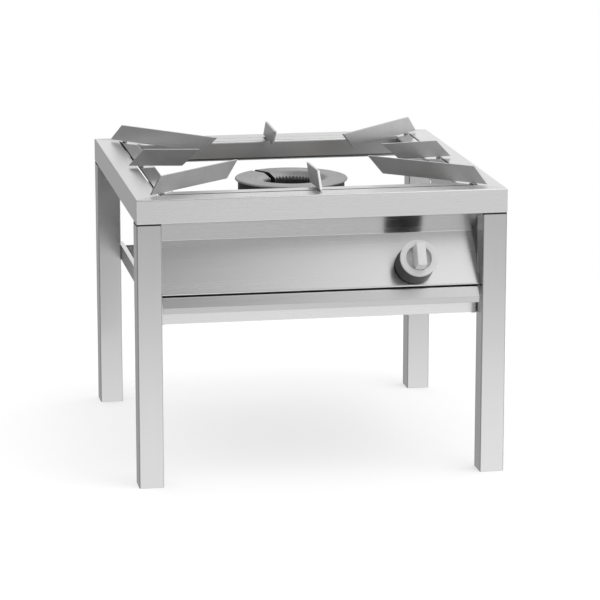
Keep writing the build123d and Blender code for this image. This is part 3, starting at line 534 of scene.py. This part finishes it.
# Control panel: one sheet folded under the rail, along the ridge and at its foot
panel_low, panel_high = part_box("control_panel")
panel_sheet = 1.5 * MM
panel_fold = 1.2 * MM
panel_top_y = -0.272
flange = 12 * MM
bend_y, bend_z = -0.2417, 0.3923
panel_foot = panel_low.z + 14 * MM
return_y = panel_low.y + 24 * MM
panel_path = [
    (panel_top_y + flange, panel_high.z),
    (panel_top_y, panel_high.z),
    (bend_y, bend_z),
    (panel_low.y, panel_foot),
    (return_y, panel_foot),
    (return_y, panel_low.z),
]
data = bmesh.new()
prism(data, folded_outline(panel_path, panel_sheet, panel_fold), along_x, panel_low.x, panel_high.x)
data.normal_update()
# Painted shade: the foot's underside and the return lip get the darker steel, and the ends are near black
for face in data.faces:
    middle = face.calc_center_median()
    under = middle.z < panel_foot + 1.2 * panel_sheet and middle.y > panel_low.y + 3.5 * MM
    face.material_index = 2 if abs(face.normal.x) > 0.9 else 1 if under else 0
finishes = [panel_steel, painted_shade_steel, painted_gap_shade]
piece_from("control_panel_sheet", data, finishes, "frame", ["control_panel"], edge=0.25 * MM)

# Drip tray: a pan with rounded corners, and its folded pull in front
tray_low, tray_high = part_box("drip_tray")
tray_sheet = 1.2 * MM
pull_fold = 0.8 * MM
front_wall = -0.264
rim = 0.2826
nose_edge = tray_high.z - 15.8 * MM
nose_lip = 9.4 * MM
nose_top_y = -0.2844
pull_path = [
    (tray_low.y + tray_sheet, nose_edge - nose_lip),
    (tray_low.y + tray_sheet, nose_edge),
    (nose_top_y, tray_high.z - tray_sheet),
    (front_wall, tray_high.z - tray_sheet),
    (front_wall, tray_low.z),
]
data = bmesh.new()
prism(data, folded_outline(pull_path, tray_sheet, pull_fold), along_x, tray_low.x, tray_high.x)
data.normal_update()
# Painted shade on the top behind the nose, and painted light on the front wall below the nose
for face in data.faces:
    middle = face.calc_center_median()
    shaded_top = middle.y > nose_top_y + 0.5 * MM and middle.z > nose_edge
    wall = middle.y > front_wall - 6 * MM and middle.z < nose_edge
    face.material_index = 1 if shaded_top else 2 if wall else 0
finishes = [pull_steel, painted_shade_steel, band_painted_light]
piece_from("tray_pull", data, finishes, "tray", ["drip_tray"], edge=0.25 * MM)


def pan_loop(inset, radius, level, steps=5):
    """Points round the pan's plan at an inset from its outside."""
    low_x, high_x = tray_low.x + inset, tray_high.x - inset
    low_y, high_y = front_wall + tray_sheet + inset, tray_high.y - inset
    points = []
    for cx, cy, start in (
        (high_x - radius, high_y - radius, 0),
        (low_x + radius, high_y - radius, 90),
        (low_x + radius, low_y + radius, 180),
        (high_x - radius, low_y + radius, 270),
    ):
        for step in range(steps + 1):
            angle = math.radians(start + 90.0 * step / steps)
            points.append((cx + radius * math.cos(angle), cy + radius * math.sin(angle), level))
    return points


data = bmesh.new()
pan_floor = tray_low.z
loops = []
# Up the outside from the floor, over the rim and down the inside, in millimetres
for inset, level in ((3.0, 0.0), (1.2, 0.35), (0.35, 1.2), (0.0, 3.0)):
    loops.append(pan_loop(inset * MM, 4 * MM, pan_floor + level * MM))
loops.append(pan_loop(0.0, 4 * MM, rim - 0.3 * MM))
loops.append(pan_loop(0.3 * MM, 3.8 * MM, rim))
loops.append(pan_loop(0.9 * MM, 3.5 * MM, rim))
loops.append(pan_loop(tray_sheet, 3.2 * MM, rim - 0.3 * MM))
for inset, level in ((1.2, 3.0), (1.4, 1.9), (2.0, 1.4), (3.2, 1.2)):
    loops.append(pan_loop(inset * MM, 3 * MM, pan_floor + level * MM))
loft(data, loops, first=True, last=True)
piece_from("tray_pan", data, steel_x, "tray")

# Burner cap: an open ring that dips to a notched lip, turned in a C round its slot
slot_half = 5.0 * MM
slot_angle = math.radians(90 + 34)
cap_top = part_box("burner_cap")[1].z
hole, notch_depth = 45.0, 3.0
teeth = 48
tooth_share, flank_share = 0.42, 0.08


def cap_profile(lip):
    """The cap's section in millimetres, as (radius, height from the top), with its lip at a radius."""
    # The dip falls 8.5 over 16, so a lip further out lies higher
    rise = 8.5 / 16.0
    return [
        (lip, -8.5 + rise * (lip - hole)),
        (lip + 1.0, -8.2 + rise * (lip + 1.0 - hole)),
        (54.0, -3.5),
        (58.0, -1.4),
        (60.8, -0.35),
        (64.0, 0.0),
        (92.8, 0.0),
        (94.2, -0.35),
        (95.0, -1.2),
        (95.0, -2.6),
        (94.6, -3.0),
        (83.7, -3.0),
        (83.7, -9.0),
        (78.7, -9.0),
        (78.7, -3.0),
        (61.0, -3.0),
        (50.0, -12.5),
        (lip + 0.4, -12.5),
        (lip, -12.1),
    ]


data = bmesh.new()
loops = []
turns = []
for tooth in range(teeth):
    for share, lip in (
        (0.0, hole),
        (tooth_share, hole),
        (tooth_share + flank_share, hole + notch_depth),
        (1.0 - flank_share, hole + notch_depth),
    ):
        turns.append(((tooth + share) / (teeth - 1.0 + tooth_share), lip))
# The C ends on a tooth, so the last notch is left out
for share, lip in turns[:-2]:
    loop = []
    for r, z in cap_profile(lip):
        radius = r * MM
        gap = math.asin(slot_half / radius)
        angle = slot_angle + gap + (2 * math.pi - 2 * gap) * share
        loop.append((radius * math.cos(angle), radius * math.sin(angle), cap_top + z * MM))
    loops.append(loop)
loft(data, loops)
# Painted shade: the two end faces of the C, in the slot, are near black
data.verts.ensure_lookup_table()
for loop in (data.verts[: len(loops[0])], data.verts[-len(loops[0]) :]):
    data.faces.new(loop).material_index = 1
piece_from("burner_cap_ring", data, [cap_iron, painted_slot_shade], "cap", ["burner_cap"])

# Knob: on the tap's own axis, from the joint that turns it
turn_joint = joints["knob_turn"]
tap_axis = Vector(turn_joint["axis"]).normalized()
tap_right = Vector((1, 0, 0))
tap_up = tap_axis.cross(tap_right)
tap_middle = Vector(turn_joint["pos_m"])


def on_tap(x, y, z):
    """A point given across, up the slope and out along the tap's axis, in millimetres."""
    return tap_middle + (tap_right * x + tap_up * y + tap_axis * z) * MM


def turned(data, profile, steps=72):
    """Turns a profile of (radius, distance) points about the tap's axis."""
    loops = []
    for r, z in profile:
        loop = []
        for step in range(steps):
            angle = 2 * math.pi * step / steps
            loop.append(on_tap(r * math.cos(angle), r * math.sin(angle), z))
        loops.append(loop)
    loft(data, loops, first=True, last=True)


data = bmesh.new()
turned(
    data,
    [
        (8.0, 9.0),
        (8.5, 9.5),
        (8.5, 29.5),
        (26.0, 29.5),
        (27.3, 6.0),
        (27.8, 5.0),
        (31.2, 5.0),
        (31.5, 5.4),
        (31.45, 6.6),
        (30.6, 25.0),
        (30.1, 38.6),
        (29.4, 39.4),
        (24.2, 39.4),
        (23.8, 35.9),
    ],
)
piece_from("knob_body", data, knob_black, "knob", ["knob"])

data = bmesh.new()
turned(
    data,
    [
        (24.0, 34.0),
        (24.4, 39.5),
        (29.9, 39.5),
        (30.4, 40.0),
        (30.5, 40.6),
        (30.5, 44.5),
        (30.3, 45.1),
        (29.7, 45.5),
        (21.2, 45.5),
        (20.6, 45.2),
        (20.4, 44.6),
        (20.0, 38.2),
        (19.4, 36.9),
        (18.2, 36.5),
        (10.0, 36.5),
        (1.0, 36.5),
    ],
)


def grip_loop(width, reach, level, steps=6):
    """Points round the grip: straight sides and ends on a circle."""
    half = width / 2
    angle = math.asin(half / reach)
    end = reach * math.cos(angle)
    points = []
    for sign in (1, -1):
        for step in range(5):
            points.append((sign * half, sign * (-end + 2 * end * step / 4)))
        for step in range(1, steps):
            turn = angle * (2 * step / steps - 1)
            points.append((sign * reach * -math.sin(turn), sign * reach * math.cos(turn)))
    return [on_tap(x, y, level) for x, y in points]


loft(
    data,
    [
        grip_loop(19.5, 20.3, 36.5),
        grip_loop(17.8, 20.3, 37.2),
        grip_loop(17.0, 20.2, 38.6),
        grip_loop(15.2, 19.9, 66.6),
        grip_loop(14.6, 19.6, 67.8),
        grip_loop(13.4, 19.0, 68.4),
        grip_loop(12.0, 18.4, 68.5),
    ],
    last=True,
)
piece_from("knob_face", data, knob_satin, "knob", ["knob_cap"])

# The CAD solids that stay get their finish by slot, and soft edges
grains = {
    "runner_left": steel_y,
    "runner_right": steel_y,
    "inlet_plate": steel_z,
    # Painted shade: the brackets inside the frame get the darker steel
    "runner_brackets": painted_shade_steel,
}
slot_of = {
    "leg_plugs": "foot_plastic",
    "panel_screws": "fastener_steel",
    "bearer_screws": "fastener_steel",
    "burner_bolts": "fastener_steel",
    "inlet_screws": "fastener_steel",
    "pilot_screw": "fastener_steel",
    "shutter_screw": "fastener_steel",
    "tap_nut": "fastener_steel",
    "burner_body": "burner_iron",
    "mixing_tube": "tube_iron",
    "air_shutter": "shutter_steel",
    "gas_tap": "tap_brass",
    "tap_plug": "tap_brass",
    "injector": "tap_brass",
    "injector_holder": "tap_brass",
    "union_nuts": "tap_brass",
    "inlet_fitting": "tap_brass",
    "inlet_locknut": "tap_brass",
    "pilot_burner": "tap_brass",
    "tap_spindle": "tap_brass",
    "feed_tube": "tube_metal",
    "supply_pipe": "tube_metal",
    "pilot_tube": "copper_tube",
    "thermocouple": "copper_tube",
}
for name, node in nodes.items():
    if node.hide_render:
        continue
    finish = grains.get(name) or slot_finish[slot_of.get(name, "brushed_sheet")]
    node.data.materials.clear()
    node.data.materials.append(finish)
    weld = node.modifiers.new("weld", "WELD")
    weld.merge_threshold = 0.005 * MM
    soften(node, 0.25 * MM, 1)

# Pale floor, soft studio light and the room that the metal reflects
data = bmesh.new()
reach, front, back = 5.0, 2.1, 1.0
loft(data, [[(-reach, -front, 0), (reach, -front, 0)], [(-reach, back, 0), (reach, back, 0)]], closed=False)
mesh = bpy.data.meshes.new("floor")
data.to_mesh(mesh)
data.free()
floor = bpy.data.objects.new("floor", mesh)
bpy.context.scene.collection.objects.link(floor)
g = Graph("floor_white")
place = g.place()
fleck = g.noise(place, scale=3.0, detail=2.0)
shade = g.colour(fleck, [(0.3, (0.93, 0.93, 0.93)), (0.7, (0.96, 0.96, 0.96))])
lit = g.add("ShaderNodeBsdfDiffuse", {"Color": shade}).outputs[0]
# The camera sees a floor that is half lit and half glowing, so the shadow stays soft on white
half_lit = g.add("ShaderNodeBsdfDiffuse", {"Color": (0.45, 0.45, 0.45, 1.0)}).outputs[0]
glow = g.add("ShaderNodeEmission", {"Strength": 0.58}).outputs[0]
white = g.add("ShaderNodeAddShader", {0: half_lit, 1: glow}).outputs[0]
path = g.add("ShaderNodeLightPath").outputs
mixed = g.add("ShaderNodeMixShader", {0: path["Is Camera Ray"], 1: lit, 2: white})
g.tree.links.new(mixed.outputs[0], g.output.inputs["Surface"])
floor.visible_glossy = False
mesh.materials.append(g.holder)

world = bpy.data.worlds.new("studio")
bpy.context.scene.world = world
g = Graph("studio", world)
toward = g.add("ShaderNodeTexCoord").outputs["Generated"]
toward = g.add("ShaderNodeVectorMath", {0: toward}, operation="NORMALIZE").outputs[0]


def lobe(azimuth, elevation, inner, outer, amount):
    """Light from round one direction, fading between two angles from it; azimuth runs from the front
    to the right."""
    a, e = math.radians(azimuth), math.radians(elevation)
    aim = (math.sin(a) * math.cos(e), -math.cos(a) * math.cos(e), math.sin(e))
    dot = g.add("ShaderNodeVectorMath", {0: toward, 1: aim}, operation="DOT_PRODUCT").outputs["Value"]
    near, far = math.cos(math.radians(inner)), math.cos(math.radians(outer))
    return g.spread(dot, far, near, 0.0, amount, smooth=True)


# Light from below in front that ends at a level line, and light from high at the front right that
# ends at an upright line
band_full, band_end = -0.249, -0.206
height = g.add("ShaderNodeSeparateXYZ", {0: toward}).outputs["Z"]
low_band = g.times(g.spread(height, band_full, band_end, 1.0, 0.0, smooth=True), lobe(8, -25, 38, 60, 0.62))
high_wall = g.times(lobe(102, 0, 87.4, 91.6, 1.0), lobe(45, 45, 35, 50, 1.05))
dim = 0.12
level = g.sum(g.sum(dim, low_band), high_wall)
# Azimuth, elevation, angle of full light, angle where it ends, and amount
for soft_box in (
    (10, -40, 45, 70, 0.06),
    (10.5, -43, 0, 6.5, 0.5),
    (10.5, -34, 0, 6.5, 0.5),
    (10.5, -25, 0, 6.5, 0.5),
    (20, -5, 8, 30, 0.5),
    (90, 55, 18, 32, 1.3),
    (0, 90, 40, 80, 0.15),
    (150, 18, 14, 40, 0.95),
    (-165, -14, 20, 42, 0.34),
    (105, -10, 20, 40, 0.84),
    (-95, -8, 15, 38, 0.3),
    (-80, 26, 8, 20, 1.2),
):
    level = g.sum(level, lobe(*soft_box))
# Only reflections see the boxes; the camera and matt surfaces see plain white
path = g.add("ShaderNodeLightPath").outputs
plain = g.add("ShaderNodeMath", {0: path["Is Camera Ray"], 1: path["Is Diffuse Ray"]}, operation="MAXIMUM")
strength = g.add("ShaderNodeMix", {0: plain.outputs[0], 2: level, 3: 1.0}, data_type="FLOAT").outputs[0]
background = g.add("ShaderNodeBackground", {"Color": (1.0, 1.0, 1.0, 1.0), "Strength": strength})
g.tree.links.new(background.outputs[0], g.output.inputs["Surface"])


def soft_light(name, place, aim, size, power):
    lamp = bpy.data.lights.new(name, "AREA")
    lamp.shape = "RECTANGLE"
    lamp.size, lamp.size_y = size
    lamp.energy = power
    holder = bpy.data.objects.new(name, lamp)
    bpy.context.scene.collection.objects.link(holder)
    holder.location = place
    holder.rotation_euler = (Vector(aim) - Vector(place)).to_track_quat("-Z", "Y").to_euler()
    holder.visible_glossy = False


soft_light("top_light", (0.9, -0.9, 2.6), (0, 0, 0.3), (1.6, 1.6), 14.0)

# Camera: the photograph's place and angle
lens_data = bpy.data.cameras.new("camera")
lens_data.lens = 174.34
lens_data.clip_end = 60.0
camera = bpy.data.objects.new("camera", lens_data)
bpy.context.scene.collection.objects.link(camera)
azimuth, elevation = math.radians(10.165), math.radians(12.632)
view = Vector((
    math.sin(azimuth) * math.cos(elevation),
    math.cos(azimuth) * math.cos(elevation),
    -math.sin(elevation),
))
camera.location = (-0.8374, -4.7547, 1.3143)
camera.rotation_euler = view.to_track_quat("-Z", "Y").to_euler()
bpy.context.scene.camera = camera
bpy.context.scene.view_settings.view_transform = "Standard"
